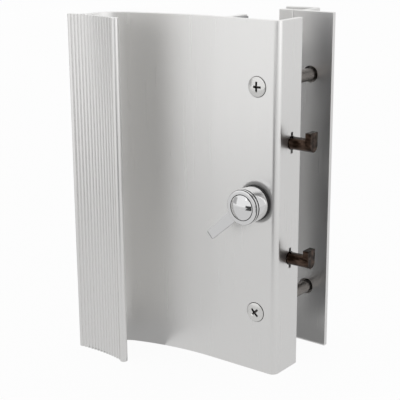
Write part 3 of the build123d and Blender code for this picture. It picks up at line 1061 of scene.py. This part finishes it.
# cards that only gloss sees, in metres and degrees: an upright one has its turn and distance as seen from
# above, the heights of its lower and upper edges over the floor, its width and its brightness, and a flat
# one has its x, y and height over the floor, its turn, its width and length, and its brightness
uprightCards = {
    "darkRoom": (-52, 1.1, 0.0, 1.3, 0.45, 0.3),
    "brightBox": (0, 0.8, 0.0, 0.7, 0.5, 1.25),
    "greyRight": (58, 1.0, 0.0, 0.9, 0.7, 0.7),
    "darkBack": (132, 1.0, 0.0, 0.28, 0.8, 0.3),
    "greyFront": (-125, 1.1, 0.0, 1.25, 2.5, 0.88),
    "softLight": (-108, 1.2, 0.46, 0.8, 0.45, 1.8),
    "darkLow": (-81, 0.52, 0.0, 0.07, 0.3, 0.05),
    "darkHigh": (-70, 1.0, 0.55, 1.7, 0.5, 0.08),
    "dimLeft": (-152, 0.9, 0.0, 0.32, 0.45, 0.42),
}
flatCards = {
    "darkPatch": (0.07, -0.4, 0.0001, -80, 0.22, 0.2, 0.05),
    "backShade": (-0.2, 0.2, 0.0001, 135, 0.33, 0.5, 0.2),
    "cavityShade": (-0.072, -0.063, 0.0001, 0, 0.03, 0.03, 0.35),
    "gapShade": (-0.0348, -0.014, 0.0001, 0, 0.0925, 0.026, 0.2),
    "channelShade": (-0.0305, -0.0367, 0.0001, 0, 0.051, 0.0195, 0.22),
}
shadedGround = {
    "middle": (0.15, 0.1), "size": 3.0, "height": 0.00005,
    "near": 0.6, "far": 1.0, "nearBrightness": 0.64, "farBrightness": 0.96,
}


def glossOnly(card, brightness):
    material = bpy.data.materials.new(card.name)
    material.use_nodes = True
    tree = material.node_tree
    glow = tree.nodes.new("ShaderNodeEmission")
    glow.inputs["Strength"].default_value = brightness
    tree.links.new(glow.outputs["Emission"], tree.nodes["Material Output"].inputs["Surface"])
    card.data.materials.append(material)
    card.visible_camera = False
    card.visible_diffuse = False
    card.visible_shadow = False
    return tree, glow


def makeCard(name, place, tilt, turn, width, length, brightness):
    bpy.ops.object.select_all(action="DESELECT")
    turns = (math.radians(tilt), 0, math.radians(turn))
    bpy.ops.mesh.primitive_plane_add(size=1, location=place, rotation=turns)
    card = bpy.context.object
    card.name = name
    card.scale = (width, length, 1)
    return glossOnly(settle(card), brightness)


def makeCards():
    ground = cadBox[0][2]
    for name, (turn, away, low, high, width, brightness) in uprightCards.items():
        place = (*polar((0, 0), away, turn), ground + (low + high) / 2)
        makeCard(name, place, 90, turn + 90, width, high - low, brightness)
    for name, (x, y, height, turn, width, length, brightness) in flatCards.items():
        makeCard(name, (x, y, ground + height), 0, turn, width, length, brightness)


# two dark sheets that only gloss from behind them sees, in millimetres: a disc between knob and
# plate shades the plate around the barrel, and one behind the wing shades the exterior pull
knobShade = {
    "radius": 10.4,
    "height": 1.7,
    "brightness": 0.2,
}
wingShade = {
    "x": -33.5,
    "y": -30.0,
    "width": 25.0,
    "top": 66.0,
    "brightness": 0.27,
}


def seenFromBehind(tree, glow):
    side = tree.nodes.new("ShaderNodeNewGeometry")
    clear = tree.nodes.new("ShaderNodeBsdfTransparent")
    mix = tree.nodes.new("ShaderNodeMixShader")
    tree.links.new(side.outputs["Backfacing"], mix.inputs["Fac"])
    tree.links.new(clear.outputs["BSDF"], mix.inputs[1])
    tree.links.new(glow.outputs["Emission"], mix.inputs[2])
    tree.links.new(mix.outputs["Shader"], tree.nodes["Material Output"].inputs["Surface"])


def makeKnobShade():
    size = knobShade
    bpy.ops.object.select_all(action="DESELECT")
    bpy.ops.mesh.primitive_circle_add(
        vertices=64, radius=size["radius"] * mm, fill_type="NGON",
        location=(knobX * mm, (frontY - size["height"]) * mm, 0), rotation=(math.pi / 2, 0, 0),
    )
    disc = bpy.context.object
    disc.name = "knobShade"
    seenFromBehind(*glossOnly(disc, size["brightness"]))


def makeWingShade():
    size = wingShade
    place = (size["x"] * mm, size["y"] * mm, (size["top"] - halfHeight) / 2 * mm)
    width, tall = size["width"] * mm, (size["top"] + halfHeight) * mm
    seenFromBehind(*makeCard("wingShade", place, 90, 0, width, tall, size["brightness"]))


# the ground is a little darker near the object than further away
def makeShadedGround():
    size = shadedGround
    place = (0, 0, cadBox[0][2] + size["height"])
    tree, glow = makeCard("shadedGround", place, 0, 0, size["size"], size["size"], size["farBrightness"])
    coords = tree.nodes.new("ShaderNodeTexCoord")
    distance = tree.nodes.new("ShaderNodeVectorMath")
    distance.operation = "DISTANCE"
    distance.inputs[1].default_value = (*size["middle"], 0)
    fade = tree.nodes.new("ShaderNodeMapRange")
    setRange(fade, size["near"], size["far"], size["nearBrightness"], size["farBrightness"])
    tree.links.new(coords.outputs["Object"], distance.inputs[0])
    tree.links.new(distance.outputs["Value"], fade.inputs["Value"])
    tree.links.new(fade.outputs["Result"], glow.inputs["Strength"])


print("camera, ground and lights")
bpy.context.scene.view_settings.view_transform = "Standard"
makeCamera()
makeFloor()
makeWorld()
makeCards()
makeKnobShade()
makeWingShade()
makeShadedGround()

print("finishes")
finishes = {
    "anodised_aluminium": satinAluminium(),
    "chassis_steel": zincSteel(),
    "bar_steel": stripSteel(),
    "pin_steel": plainSteel(),
    "post_steel": postSteel(),
    "bolt_bronze": darkBronze(),
    "knob_chrome": brightChrome(),
    "screw_chrome": brightNickel(),
    "gasket_rubber": blackRubber(),
}

print("interior and exterior pulls")
makeInteriorPull(finishes["anodised_aluminium"])
makeExteriorPull(finishes["anodised_aluminium"])
print("screws, nuts and bolts")
for place, side in (("upper", 1), ("lower", -1)):
    makeMountingScrew(place, side * screwZ, finishes["screw_chrome"])
    makePostNut(place, side * screwZ, finishes["post_steel"])
    makeHookBolt(place, side * boltZ, finishes["bolt_bronze"])
print("thumbturn")
makeGasket(finishes["gasket_rubber"])
makeBarrel(finishes["knob_chrome"])
makeLever(finishes["knob_chrome"])
makeCap(finishes["knob_chrome"])
print("lock work")
for node, (body, slot, edge) in lockWork.items():
    dressCopy(node, body, slot, edge, finishes[slot])
